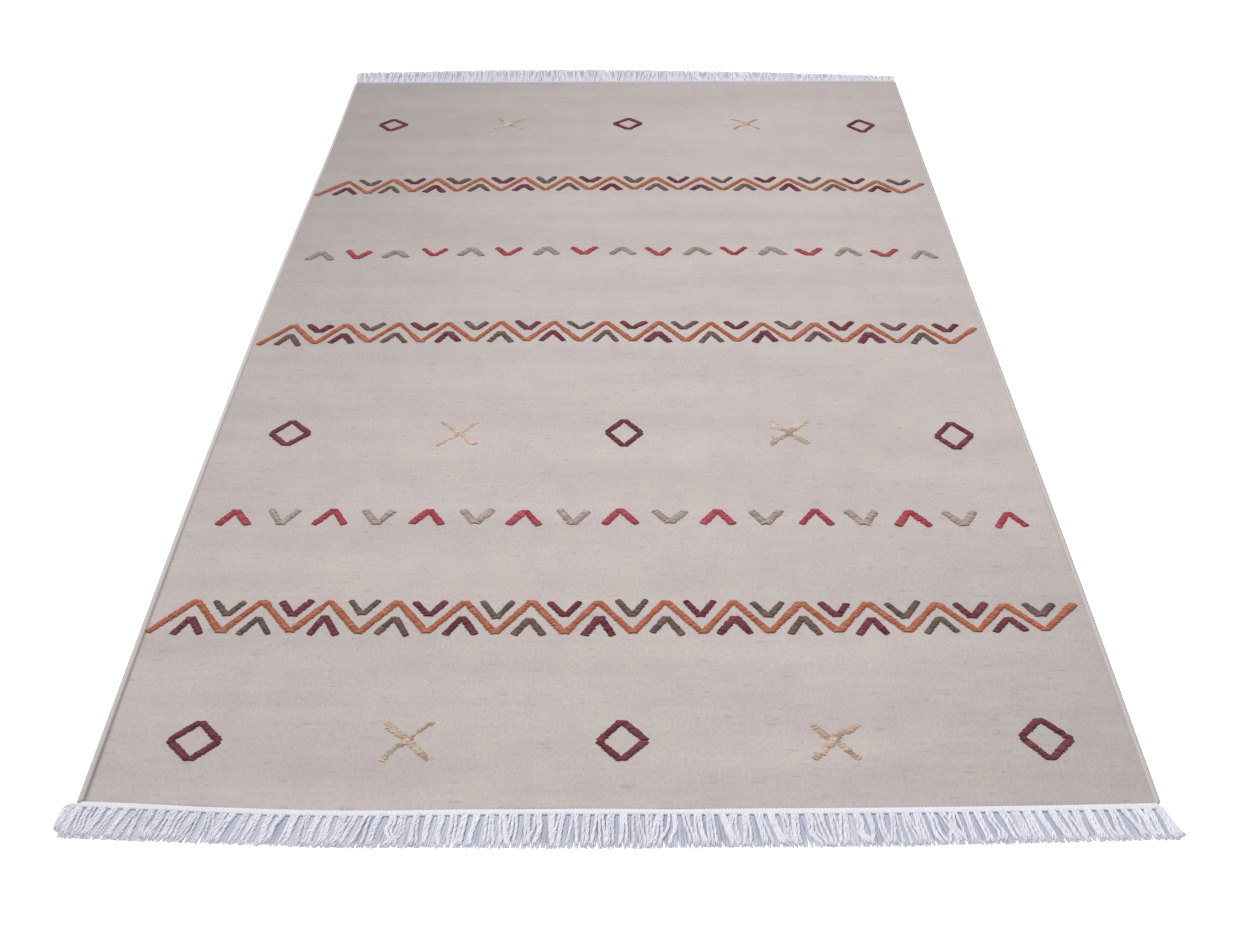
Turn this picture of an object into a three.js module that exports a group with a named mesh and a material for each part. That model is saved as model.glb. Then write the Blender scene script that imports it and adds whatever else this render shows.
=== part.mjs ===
// Dhurrie rug: a flat-woven wool field, a cord along each long edge and a cotton fringe at each end.
// Millimetres. The rug lies on z = 0 with its length along Y, its near end at -Y and its far end at +Y.

import * as THREE from "three";

// Field and edge cords
const rugWidth = 1200;
const fieldLength = 1800;
const fieldThickness = 3;
const edgeCordWidth = 6;
const edgeCordHeight = 4;
const edgeCordRounding = 1.2;
const edgeCordRoundingSteps = 2;
const pieceGap = 0.3;

// Fringe: a header band that carries the tassels
const headerWidth = 6;
const fringeThickness = 3;
const tasselCount = 90;
const tasselPitch = rugWidth / tasselCount;
const tipUnevenness = 6;
const tipTurn = 2.4;
const leanRise = 3;

// Divisions of the bowed edges
const sideDivisions = 24;
const endDivisions = 24;

// How far each long side stands out from its straight line. Along runs from -1, the near end, to 1, the far end.
const sideSections = [
  { along: -1, leftBulge: 0.5, rightBulge: -1 },
  { along: -2 / 3, leftBulge: 6, rightBulge: 1 },
  { along: -1 / 3, leftBulge: 9.5, rightBulge: 1 },
  { along: 0, leftBulge: 10.5, rightBulge: 0.5 },
  { along: 1 / 3, leftBulge: 8, rightBulge: 0 },
  { along: 2 / 3, leftBulge: 3.5, rightBulge: 0 },
  { along: 1, leftBulge: 4, rightBulge: 2 },
];

// Width of a tassel from its root, at share 0, to its tip, at share 1
const tasselSections = [
  { share: 0, width: 6.5 },
  { share: 0.4, width: 9 },
  { share: 0.93, width: 8.5 },
];

const sides = {
  left: { sign: -1, column: "leftBulge" },
  right: { sign: 1, column: "rightBulge" },
};

// Bow is how far the middle of the end stands out past its corners, swell how much further its left half does,
// reach how far the tips are from the corners' line, and lean how far the outer tips spread towards the sides.
const ends = {
  near: { direction: -1, bow: 8, swell: 5, reach: 57, lean: 12 },
  far: { direction: 1, bow: 1, swell: 0, reach: 57, lean: 3 },
};

// Where the swell lies, as shares of half the rug's width
const swellMiddle = -0.55;
const swellReach = 0.45;

const greigeWool = new THREE.MeshStandardMaterial({ color: 0xc5bbb7, roughness: 0.95, metalness: 0 });
const paleCord = new THREE.MeshStandardMaterial({ color: 0xd3d3d2, roughness: 0.9, metalness: 0 });
const whiteCotton = new THREE.MeshStandardMaterial({ color: 0xe4e4ec, roughness: 0.9, metalness: 0 });

// Points along a long side from the near end to the far one, moved in from the rug's outline by an inset
function sideLine(side, inset) {
  const sectionPoints = sideSections.map((section) => {
    const across = rugWidth / 2 + section[side.column] - inset;
    return new THREE.Vector2(side.sign * across, (section.along * fieldLength) / 2);
  });
  return new THREE.SplineCurve(sectionPoints).getPoints(sideDivisions);
}

// Where the field ends, at a distance across from the middle
function endEdge(end, across) {
  const share = across / (rugWidth / 2);
  const fromSwell = THREE.MathUtils.clamp((share - swellMiddle) / swellReach, -1, 1);
  const swell = end.swell * Math.cos((fromSwell * Math.PI) / 2) ** 2;
  return end.direction * (fieldLength / 2 + end.bow * (1 - share * share) + swell);
}

// Points along an end from left to right, moved outwards by an offset
function endLine(end, halfWidth, offset) {
  const points = [];
  for (let step = 0; step <= endDivisions; step += 1) {
    const across = halfWidth * ((2 * step) / endDivisions - 1);
    points.push(new THREE.Vector2(across, endEdge(end, across) + end.direction * offset));
  }
  return points;
}

function fieldShape() {
  const inset = edgeCordWidth + pieceGap;
  const halfWidth = rugWidth / 2 - inset;
  const farLine = endLine(ends.far, halfWidth, 0).slice(1, -1);
  const nearLine = endLine(ends.near, halfWidth, 0).slice(1, -1);
  const leftLine = sideLine(sides.left, inset);
  const rightLine = sideLine(sides.right, inset);
  return new THREE.Shape([...leftLine, ...farLine, ...rightLine.reverse(), ...nearLine.reverse()]);
}

function edgeCordShape(side) {
  const outerLine = sideLine(side, 0);
  const innerLine = sideLine(side, edgeCordWidth);
  return new THREE.Shape([...outerLine, ...innerLine.reverse()]);
}

// One tassel's outline: down its left side from the header, round its tip and back up its right side
function tasselOutline(end, index) {
  const rootAcross = tasselPitch * (index + 0.5) - rugWidth / 2;
  const rootAlong = endEdge(end, rootAcross) + end.direction * (pieceGap + headerWidth);
  const shortfall = tipUnevenness * Math.sin(index * tipTurn) ** 2;
  const tipAlong = end.direction * (fieldLength / 2 + end.reach - shortfall);
  const tipAcross = rootAcross + end.lean * Math.tanh((leanRise * rootAcross) / (rugWidth / 2));
  const root = new THREE.Vector2(rootAcross, rootAlong);
  const tip = new THREE.Vector2(tipAcross, tipAlong);
  const leftSide = [];
  const rightSide = [];
  for (const section of tasselSections) {
    const middle = root.clone().lerp(tip, section.share);
    leftSide.push(new THREE.Vector2(middle.x - section.width / 2, middle.y));
    rightSide.push(new THREE.Vector2(middle.x + section.width / 2, middle.y));
  }
  return [...leftSide, tip, ...rightSide.reverse()];
}

function fringeShape(end) {
  const innerLine = endLine(end, rugWidth / 2, pieceGap);
  const headerLine = endLine(end, rugWidth / 2, pieceGap + headerWidth);
  const tassels = [];
  for (let index = 0; index < tasselCount; index += 1) {
    tassels.push(...tasselOutline(end, index));
  }
  return new THREE.Shape([...innerLine.reverse(), headerLine[0], ...tassels, headerLine[endDivisions]]);
}

function flatPiece(name, shape, thickness, material) {
  const geometry = new THREE.ExtrudeGeometry(shape, { depth: thickness, bevelEnabled: false });
  const piece = new THREE.Mesh(geometry, material);
  piece.name = name;
  return piece;
}

function roundedPiece(name, shape, height, rounding, material) {
  const geometry = new THREE.ExtrudeGeometry(shape, {
    depth: height - 2 * rounding,
    bevelThickness: rounding,
    bevelSize: rounding,
    bevelOffset: -rounding,
    bevelSegments: edgeCordRoundingSteps,
  });
  const piece = new THREE.Mesh(geometry, material);
  piece.name = name;
  piece.position.z = rounding;
  return piece;
}

const rug = new THREE.Group();
rug.add(flatPiece("woven_field", fieldShape(), fieldThickness, greigeWool));
for (const [name, side] of Object.entries(sides)) {
  rug.add(roundedPiece(`edge_cord_${name}`, edgeCordShape(side), edgeCordHeight, edgeCordRounding, paleCord));
}
for (const [name, end] of Object.entries(ends)) {
  rug.add(flatPiece(`fringe_${name}`, fringeShape(end), fringeThickness, whiteCotton));
}

export default rug;
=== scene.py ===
import bpy
import math
import numpy as np
from mathutils import Matrix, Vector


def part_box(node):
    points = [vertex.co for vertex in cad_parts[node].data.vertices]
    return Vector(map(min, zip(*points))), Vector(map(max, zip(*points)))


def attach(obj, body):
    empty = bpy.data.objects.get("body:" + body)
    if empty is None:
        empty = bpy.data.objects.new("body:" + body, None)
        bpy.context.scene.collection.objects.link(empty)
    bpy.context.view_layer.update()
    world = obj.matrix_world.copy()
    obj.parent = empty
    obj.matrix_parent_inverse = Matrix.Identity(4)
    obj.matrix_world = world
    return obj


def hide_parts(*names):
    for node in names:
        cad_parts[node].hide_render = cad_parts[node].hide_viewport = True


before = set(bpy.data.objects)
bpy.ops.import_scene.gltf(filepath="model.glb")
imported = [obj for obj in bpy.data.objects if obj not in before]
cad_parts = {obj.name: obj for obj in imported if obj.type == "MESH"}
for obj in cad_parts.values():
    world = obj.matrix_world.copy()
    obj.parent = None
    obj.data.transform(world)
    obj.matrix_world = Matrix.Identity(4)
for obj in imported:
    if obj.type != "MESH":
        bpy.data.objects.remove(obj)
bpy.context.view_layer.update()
mm = 0.001  # sizes are written in millimetres, and Blender works in metres


# sRGB hex to the linear colour that a shader wants
def linear(hexCode):
    channels = [int(hexCode[k:k + 2], 16) / 255 for k in (1, 3, 5)]
    return [c / 12.92 if c <= 0.04045 else ((c + 0.055) / 1.055) ** 2.4 for c in channels] + [1.0]


# adds a node with its settings, then fills or links its inputs
def addNode(tree, kind, inputs=None, **settings):
    made = tree.nodes.new("ShaderNode" + kind)
    for name, value in settings.items():
        setattr(made, name, value)
    for socket, value in (inputs or {}).items():
        if isinstance(value, bpy.types.NodeSocket):
            tree.links.new(value, made.inputs[socket])
        else:
            made.inputs[socket].default_value = value
    return made


def startMaterial(name, finish):
    material = bpy.data.materials.new(name)
    material.use_nodes = True
    tree = material.node_tree
    shader = tree.nodes["Principled BSDF"]
    for socket, value in finish.items():
        shader.inputs[socket].default_value = value
    return material, tree, shader


# flat-woven wool: hand-spun weft beaten down over a hidden warp. The eye sees a matt, chalky
# ground with soft bands where the yarn changes, short thick and thin places, and a low grain
fieldWool = {
    "pinkish": "#b2a8a8",
    "greenish": "#b0aaa6",
    "finish": {"Roughness": 0.95, "IOR": 1.5, "Specular IOR Level": 0.15, "Sheen Weight": 0.08},
    # patches where a bobbin of weft gives way to the next, bands of dye lots, streaks of single
    # weft rows, the yarn's thick and thin, flecks of dark fibre, and pale rub marks along the warp:
    # size across and along, the noise's detail and offset, the span of it that shows, tone at both ends
    "uneven": {
        "patches": {"mm": (44, 60), "detail": 2, "offset": 3, "span": (0.3, 0.7), "tone": (0.98, 1.02)},
        "bands": {"mm": (520, 70), "detail": 3, "offset": 7, "span": (0.3, 0.7), "tone": (0.955, 1.045)},
        "streaks": {"mm": (60, 7), "detail": 2, "offset": 11, "span": (0.3, 0.7), "tone": (0.984, 1.016)},
        "grain": {"mm": (3.4, 5.5), "detail": 2, "offset": 29, "span": (0.3, 0.7), "tone": (0.95, 1.05)},
        "flecks": {"mm": (24, 7), "detail": 1, "offset": 47, "span": (0.64, 0.75), "tone": (1, 0.88)},
        "rubs": {"mm": (4, 26), "detail": 1, "offset": 83, "span": (0.66, 0.76), "tone": (1, 1.06)},
    },
    "noiseRoughness": 0.55,
    "warpMm": 5.0,  # drawn about twice the real pitch, or it would be lost between pixels
    "weftMm": 2.4,
    "threadGapMm": 0.55,
    "wanderMm": 3.0,  # how far the threads wander off their lines, and over what length
    "wanderOverMm": 30,
    "weaveDepthMm": 0.3,
    "weaveStrength": 0.3,
    "paintedFalloff": [  # painted falloff of the light, two parts darkened as painted shade and a paler one as painted light: middle in metres, weight of the length, reach, tone
        ((-0.72, 0.75), 0.5, (0.1, 0.75), 0.84),
        ((0.66, -0.83), 0.8, (0.05, 0.47), 0.89),
        ((0.32, 0.7), 0.6, (0.05, 0.4), 1.05),
    ],
    "paintedCordShadowTone": 0.5,  # painted shadow that the left cord casts on the field beside it
}


def flatWovenWool():
    look = fieldWool
    material, tree, shader = startMaterial("flatWovenWool", look["finish"])
    place = addNode(tree, "TexCoord").outputs["Object"]

    noises = {}
    toneParts = []  # what drives a tone, its low and high end, and the tone that each end gives
    for name, part in look["uneven"].items():
        scaled = addNode(tree, "Mapping", {
            "Vector": place,
            "Location": (part["offset"], part["offset"], 0),
            "Scale": (1 / (part["mm"][0] * mm), 1 / (part["mm"][1] * mm), 1),
        })
        noises[name] = addNode(tree, "TexNoise", {
            "Vector": scaled.outputs[0], "Scale": 1,
            "Detail": part["detail"], "Roughness": look["noiseRoughness"],
        }).outputs[0]
        toneParts.append((noises[name], *part["span"], *part["tone"]))
    # painted shadow of the left cord, darkest towards the near corner
    paintedCordShadow = addNode(tree, "Attribute", attribute_name="paintedCordShadow").outputs["Fac"]
    toneParts.append((paintedCordShadow, 0, 1, 1, look["paintedCordShadowTone"]))
    # painted shade darkens two parts of the ground and painted light brightens a third
    for middle, weight, reach, falloffTone in look["paintedFalloff"]:
        weighed = addNode(tree, "VectorMath", {0: place, 1: (1, weight, 1)}, operation="MULTIPLY")
        away = addNode(tree, "VectorMath", {
            0: weighed.outputs[0], 1: (middle[0], middle[1] * weight, 0)}, operation="DISTANCE")
        toneParts.append((away.outputs["Value"], *reach, falloffTone, 1))
    tone = None
    for driver, low, high, atLow, atHigh in toneParts:
        shade = addNode(tree, "MapRange", {0: driver, 1: low, 2: high, 3: atLow, 4: atHigh},
                        interpolation_type="SMOOTHSTEP").outputs[0]
        tone = shade if tone is None else addNode(
            tree, "Math", {0: tone, 1: shade}, operation="MULTIPLY").outputs[0]
    low, high = look["uneven"]["patches"]["span"]
    tint = addNode(tree, "MapRange", {0: noises["patches"], 1: low, 2: high, 3: 0, 4: 1})
    dyed = addNode(tree, "Mix", {
        0: tint.outputs[0], 6: linear(look["pinkish"]), 7: linear(look["greenish"]),
    }, data_type="RGBA")
    coloured = addNode(tree, "VectorMath", {0: dyed.outputs[2], "Scale": tone}, operation="SCALE")
    tree.links.new(coloured.outputs[0], shader.inputs["Base Color"])

    wander = addNode(tree, "TexNoise", {
        "Vector": place, "Scale": 1 / (look["wanderOverMm"] * mm), "Detail": 2})
    drift = addNode(tree, "VectorMath", {
        0: wander.outputs[1], "Scale": look["wanderMm"] * mm}, operation="SCALE")
    woven = addNode(tree, "VectorMath", {0: place, 1: drift.outputs[0]}, operation="ADD")
    weave = addNode(tree, "TexBrick", {
        "Vector": woven.outputs[0], "Scale": 1,
        "Mortar Size": look["threadGapMm"] * mm, "Mortar Smooth": 1.0,
        "Brick Width": look["warpMm"] * mm, "Row Height": look["weftMm"] * mm,
    })
    raised = addNode(tree, "Math", {0: noises["grain"], 1: weave.outputs[1]}, operation="SUBTRACT")
    bump = addNode(tree, "Bump", {
        "Strength": look["weaveStrength"], "Distance": look["weaveDepthMm"] * mm,
        "Height": raised.outputs[0]})
    tree.links.new(bump.outputs[0], shader.inputs["Normal"])
    return material


# soft wool yarn, two-ply and dyed in the hank: a matt rope with a faint diagonal twist, its
# colour uneven from stitch to stitch because the dye took unevenly
yarnFinish = {"Roughness": 0.92, "IOR": 1.5, "Specular IOR Level": 0.15, "Sheen Weight": 0.1}
yarns = {  # each yarn's main colour and the two that it drifts to
    "orange": {"main": "#b26847", "pale": "#b37663", "deep": "#915536"},
    "maroon": {"main": "#6b3640", "pale": "#814852", "deep": "#52272f"},
    "olive": {"main": "#6c5750", "pale": "#7f6960", "deep": "#54433e"},
    "red": {"main": "#a7424b", "pale": "#af5c63", "deep": "#8c333b"},
    "taupe": {"main": "#a6978e", "pale": "#b8a9a1", "deep": "#8f8179"},
    "cream": {"main": "#c0ad9b", "pale": "#c9b7a8", "deep": "#9a8877"},
}
yarnTwist = {"plies": 2, "pitchMm": 5.0, "depthMm": 0.25, "strength": 0.6}


def pliedYarn(name, colours, finish, twist):
    material, tree, shader = startMaterial(name, finish)
    tone = addNode(tree, "Attribute", attribute_name="tone").outputs["Fac"]
    drift = addNode(tree, "Attribute", attribute_name="drift").outputs["Fac"]
    pale = addNode(tree, "Mix", {
        0: drift, 6: linear(colours["main"]), 7: linear(colours["pale"])}, data_type="RGBA")
    deep = addNode(tree, "Mix", {
        0: tone, 6: pale.outputs[2], 7: linear(colours["deep"])}, data_type="RGBA")
    tree.links.new(deep.outputs[2], shader.inputs["Base Color"])

    unrolled = addNode(tree, "UVMap", uv_map="yarn").outputs[0]
    parts = addNode(tree, "SeparateXYZ", {0: unrolled})
    around = addNode(tree, "Math", {0: parts.outputs[0], 1: twist["plies"]}, operation="MULTIPLY")
    along = addNode(tree, "Math", {0: parts.outputs[1], 1: twist["pitchMm"]}, operation="DIVIDE")
    turns = addNode(tree, "Math", {0: around.outputs[0], 1: along.outputs[0]}, operation="ADD")
    phase = addNode(tree, "Math", {0: turns.outputs[0], 1: 2 * math.pi}, operation="MULTIPLY")
    groove = addNode(tree, "Math", {0: phase.outputs[0]}, operation="SINE")
    bump = addNode(tree, "Bump", {
        "Strength": twist["strength"], "Distance": twist["depthMm"] * mm, "Height": groove.outputs[0]})
    tree.links.new(bump.outputs[0], shader.inputs["Normal"])
    return material


def addObject(name, mesh, material):
    piece = bpy.data.objects.new(name, mesh)
    bpy.context.scene.collection.objects.link(piece)
    mesh.materials.append(material)
    mesh.polygons.foreach_set("use_smooth", np.ones(len(mesh.polygons), bool))
    return piece


tipBulge = 0.5  # how far a yarn's closed end stands out, as a share of its radius
bakeCell = {"aside": 0.06, "ends": 0.14, "tip": 0.1}  # margins in a yarn's cell, and its tips in them


# many closed yarns in one mesh. centres: yarn, ring, xyz. radius: yarn, ring. Each yarn has its own
# values in the attributes, for the whole of it or ring by ring, and its own cell of the bake map
def yarnMesh(name, centres, radius, attributes, sides=5, squash=1.0, sideways=None, skew=0.0):
    count, rings = centres.shape[:2]
    tangent = np.gradient(centres, axis=1)
    tangent /= np.linalg.norm(tangent, axis=2, keepdims=True)
    if sideways is None:
        sideways = np.cross(tangent, (0, 0, 1))
    side = sideways / np.linalg.norm(sideways, axis=-1, keepdims=True) * np.ones_like(tangent)
    lift = np.cross(side, tangent)
    turn = np.arange(sides) * 2 * math.pi / sides
    ring = (np.cos(turn)[:, None] * side[:, :, None]
            + squash * np.sin(turn)[:, None] * lift[:, :, None]
            + skew * np.cos(turn)[:, None] * tangent[:, :, None])
    tube = centres[:, :, None] + radius[:, :, None, None] * ring
    first = centres[:, 0] - tipBulge * radius[:, :1] * tangent[:, 0]
    last = centres[:, -1] + tipBulge * radius[:, -1:] * tangent[:, -1]
    points = np.concatenate([tube.reshape(count, -1, 3), first[:, None], last[:, None]], axis=1)
    perYarn = rings * sides + 2

    atRing, atSide = np.meshgrid(np.arange(rings - 1), np.arange(sides), indexing="ij")
    atRing, atSide = atRing.ravel(), atSide.ravel()
    nextSide = (atSide + 1) % sides
    quads = np.stack([
        atRing * sides + atSide, (atRing + 1) * sides + atSide,
        (atRing + 1) * sides + nextSide, atRing * sides + nextSide], axis=1)
    corner = np.arange(sides)
    nextCorner = (corner + 1) % sides
    lastRing = (rings - 1) * sides
    startTips = np.stack([corner, nextCorner, np.full(sides, perYarn - 2)], axis=1)
    endTips = np.stack([lastRing + nextCorner, lastRing + corner, np.full(sides, perYarn - 1)], axis=1)
    tips = np.concatenate([startTips, endTips])
    offset = (np.arange(count) * perYarn)[:, None, None]
    faces = (quads[None] + offset).reshape(-1, 4).tolist() + (tips[None] + offset).reshape(-1, 3).tolist()
    mesh = bpy.data.meshes.new(name)
    mesh.from_pydata(points.reshape(-1, 3).tolist(), [], faces)

    # unrolled surface: u round the yarn, v along it
    length = np.linalg.norm(np.diff(centres, axis=1), axis=2)
    run = np.concatenate([np.zeros((count, 1)), np.cumsum(length, axis=1)], axis=1) / mm
    quadU = np.stack([atSide, atSide, atSide + 1, atSide + 1], axis=1) / sides
    quadRing = np.stack([atRing, atRing + 1, atRing + 1, atRing], axis=1)
    startU = np.stack([corner, corner + 1, corner + 0.5], axis=1)
    tipU = np.concatenate([startU, startU[:, [1, 0, 2]]]) / sides
    tipRing = np.concatenate([np.zeros((sides, 3), int), np.full((sides, 3), rings - 1)])
    tipOut = np.zeros((2 * sides, 3))
    tipOut[:sides, 2], tipOut[sides:, 2] = -1, 1
    u = np.concatenate([np.tile(quadU.ravel(), count), np.tile(tipU.ravel(), count)])
    v = np.concatenate([run[:, quadRing].ravel(), run[:, tipRing].ravel()])
    mesh.uv_layers.new(name="yarn").data.foreach_set("uv", np.stack([u, v], 1).ravel())

    # bake map: a grid of cells, one for each yarn, with a margin round each
    columns = math.ceil(math.sqrt(count))
    rows = math.ceil(count / columns)
    cellX, cellY = np.arange(count) % columns, np.arange(count) // columns
    tall, wide = 1 - 2 * bakeCell["ends"], 1 - 2 * bakeCell["aside"]
    quadV = bakeCell["ends"] + tall * quadRing / (rings - 1)
    tipV = bakeCell["ends"] + tall * tipRing / (rings - 1) + bakeCell["tip"] * tipOut
    bakeU = [(cellX[:, None] + bakeCell["aside"] + wide * part.ravel()[None]) / columns
             for part in (quadU, tipU)]
    bakeV = [(cellY[:, None] + part.ravel()[None]) / rows for part in (quadV, tipV)]
    bake = np.stack([np.concatenate([part.ravel() for part in both]) for both in (bakeU, bakeV)], 1)
    mesh.uv_layers.new(name="OFBake").data.foreach_set("uv", bake.ravel())
    for attribute, values in attributes.items():
        perRing = np.broadcast_to(np.reshape(values, (count, -1)), (count, rings))
        perPoint = np.concatenate([np.repeat(perRing, sides, axis=1), perRing[:, [0, -1]]], axis=1)
        stored = mesh.attributes.new(attribute, "FLOAT", "POINT")
        stored.data.foreach_set("value", perPoint.astype(np.float32).ravel())
    return mesh


def cadPoints(node):
    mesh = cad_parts[node].data
    flat = np.empty(len(mesh.vertices) * 3)
    mesh.vertices.foreach_get("co", flat)
    return flat.reshape(-1, 3)


# the rug's outline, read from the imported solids: points past these bands lie on a side or an end
outline = {"halfWidthMm": 600, "sideBandMm": 592, "endBandMm": 899.5}
fieldPoints = cadPoints("woven_field")
fieldLow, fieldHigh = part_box("woven_field")


def edgeTable(axis, sign, bandMm):
    picked = fieldPoints[sign * fieldPoints[:, axis] > bandMm * mm]
    order = np.unique(np.round(picked[:, 1 - axis], 6), return_index=True)[1]
    return picked[order, 1 - axis], picked[order, axis]


sideTables = {sign: edgeTable(0, sign, outline["sideBandMm"]) for sign in (-1, 1)}
endTables = {sign: edgeTable(1, sign, outline["endBandMm"]) for sign in (-1, 1)}


def sideX(sign, y):
    return np.interp(y, *sideTables[sign])


def endY(sign, x):
    return np.interp(x, *endTables[sign])


# the field: a closed thin sheet, low waves and weft bands in its top
field = {
    "seed": 5,
    "thicknessMm": 3.0,
    "columns": 110,
    "rows": 430,
    "edgeStepsMm": (2.0, 4.0, 6.0, 9.0),  # extra columns where the side dips under the cord
    "rollMm": 4.0,
    "rollDropMm": 0.3,
    "rollRelief": 0.15,  # share of the waves and bands that is left on the rolled sides
    "paintedCordShadowFromMm": 2.0,  # the painted shadow beside the left cord starts where the cord's lap ends
    "paintedCordShadowMm": 3.5,
    "paintedCordShadowCornerMm": 2.0,  # how much wider it is at the near corner, and how far that reaches
    "paintedCordShadowCornerReachMm": 300,
    "paintedCordShadowAtMm": (-900, -640, -300, 100, 700),  # and how strong it is along the rug
    "paintedCordShadowShare": (1.0, 0.7, 0.45, 0.15, 0.0),
    "waves": 14,
    "waveLengthMm": (140, 520),
    "waveHeightMm": 0.16,
    "bandHeightMm": 0.10,
    "bandKnots": 9,
    "bakeMargin": 0.002,
    "bakeTop": (0.002, 0.902),  # what each takes of the bake map's width
    "bakeWalls": (0.91, 0.93),
    "bakeUnder": (0.94, 0.995),
}
waveRandom = np.random.default_rng(field["seed"])
waveLengths = waveRandom.uniform(*field["waveLengthMm"], field["waves"]) * mm
waveHeadings = waveRandom.uniform(0, math.pi, field["waves"])
wavePhases = waveRandom.uniform(0, 2 * math.pi, field["waves"])


# height of the low waves in the ground, in millimetres
def groundWave(x, y):
    height = np.zeros_like(x)
    for length, heading, phase in zip(waveLengths, waveHeadings, wavePhases):
        travel = x * math.cos(heading) + y * math.sin(heading)
        height += field["waveHeightMm"] * np.sin(2 * math.pi * travel / length + phase)
    return height


def makeField(material):
    random = np.random.default_rng(field["seed"] + 1)
    steps = np.array(field["edgeStepsMm"]) * mm / fieldHigh.x
    inner = np.linspace(-1 + steps[-1] * 2, 1 - steps[-1] * 2, field["columns"])
    u = np.concatenate([[-1], -1 + steps, inner, 1 - steps[::-1], [1]])
    v = np.linspace(-1, 1, field["rows"])
    uGrid, vGrid = np.meshgrid(u, v)
    y0 = vGrid * fieldHigh.y
    left, right = sideX(-1, y0), sideX(1, y0)
    x = left + (right - left) * (uGrid + 1) / 2
    near, far = endY(-1, x), endY(1, x)
    y = near + (far - near) * (vGrid + 1) / 2

    bands = random.normal(0, 1, (len(v), field["bandKnots"]))
    bands = (bands + np.roll(bands, 1, 0) + np.roll(bands, -1, 0)) / 3
    knots = np.linspace(-1, 1, bands.shape[1])
    rowRelief = np.stack([np.interp(u, knots, row) for row in bands])
    relief = groundWave(x, y) + field["bandHeightMm"] * rowRelief
    inset = np.minimum(x - left, right - x) / (field["rollMm"] * mm)
    roll = field["rollDropMm"] * np.clip(1 - inset, 0, 1) ** 2
    z = (field["thicknessMm"] + relief * np.clip(inset, field["rollRelief"], 1) - roll) * mm

    rows, columns = x.shape
    top = np.stack([x, y, z], 2).reshape(-1, 3)
    index = np.arange(rows * columns).reshape(rows, columns)
    rim = np.concatenate([index[0], index[1:, -1], index[-1, -2::-1], index[-2:0:-1, 0]])
    bottom = top[rim] * (1, 1, 0)
    under = np.arange(len(rim)) + len(top)
    corners = [index[:-1, :-1], index[:-1, 1:], index[1:, 1:], index[1:, :-1]]
    quads = np.stack(corners, 2).reshape(-1, 4)
    nextRim, nextUnder = np.roll(rim, -1), np.roll(under, -1)
    walls = np.stack([under, nextUnder, nextRim, rim], 1)
    mesh = bpy.data.meshes.new("woven_ground")
    mesh.from_pydata(np.concatenate([top, bottom]).tolist(), [],
                     quads.tolist() + walls.tolist() + [under[::-1].tolist()])

    # bake map: the top face fills most of it, the walls and the underside take the strip beside it
    flat = np.concatenate([top, bottom])[:, :2]
    lengthways = (field["bakeMargin"], 1 - field["bakeMargin"])
    along = np.interp(flat[:, 1], (fieldLow.y, fieldHigh.y), lengthways)
    topUv, underUv = (
        np.stack([np.interp(flat[:, 0], (fieldLow.x, fieldHigh.x), field[part]), along], 1)
        for part in ("bakeTop", "bakeUnder"))
    wallEnds = np.linspace(*lengthways, len(rim) + 1)
    wallUv = np.stack([
        np.tile(np.repeat(field["bakeWalls"], 2), len(rim)),
        np.stack([wallEnds[:-1], wallEnds[1:], wallEnds[1:], wallEnds[:-1]], 1).ravel()], 1)
    bake = np.concatenate([topUv[quads.ravel()], wallUv, underUv[under[::-1]]])
    mesh.uv_layers.new(name="OFBake").data.foreach_set("uv", bake.ravel())
    # painted shadow beside the left cord: wider towards the near corner, fading out towards the far end
    nearCorner = np.clip(1 - (y - fieldLow.y) / (field["paintedCordShadowCornerReachMm"] * mm), 0, 1)
    paintedCordShadowWidth = (field["paintedCordShadowMm"] + field["paintedCordShadowCornerMm"] * nearCorner) * mm
    paintedCordShadow = np.clip(1 - (x - left - field["paintedCordShadowFromMm"] * mm) / paintedCordShadowWidth, 0, 1)
    paintedCordShadow = (paintedCordShadow * np.interp(y / mm, field["paintedCordShadowAtMm"], field["paintedCordShadowShare"])).ravel()
    stored = mesh.attributes.new("paintedCordShadow", "FLOAT", "POINT")
    stored.data.foreach_set("value", np.concatenate([paintedCordShadow, paintedCordShadow[rim]]).astype(np.float32))
    return addObject("woven_ground", mesh, material)


# thick places in the weft and loose bits of warp that stand a little proud of the ground
slub = {
    "seed": 17,
    "weftCount": 620,
    "warpCount": 360,
    "weftLengthMm": (4, 15),
    "warpLengthMm": (4, 13),
    "radiusMm": (0.45, 0.8),
    "rings": 6,
    "proudMm": 0.28,
    "insetMm": 28,
    "turnRad": 0.04,
    "bowMm": 0.3,
    "endDip": 0.6,  # how far the ends dip into the ground, as a share of the radius
    "endBlunt": 0.05,
    "darkShare": 0.3,
    "darkTone": (0.3, 0.9),
    "plainTone": (0, 0.2),
    "weftDrift": (0, 0.5),
    "warpDrift": (0.3, 1),
    "colours": {"main": "#b4aaa7", "pale": "#c8c0bd", "deep": "#958b86"},
}


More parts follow.
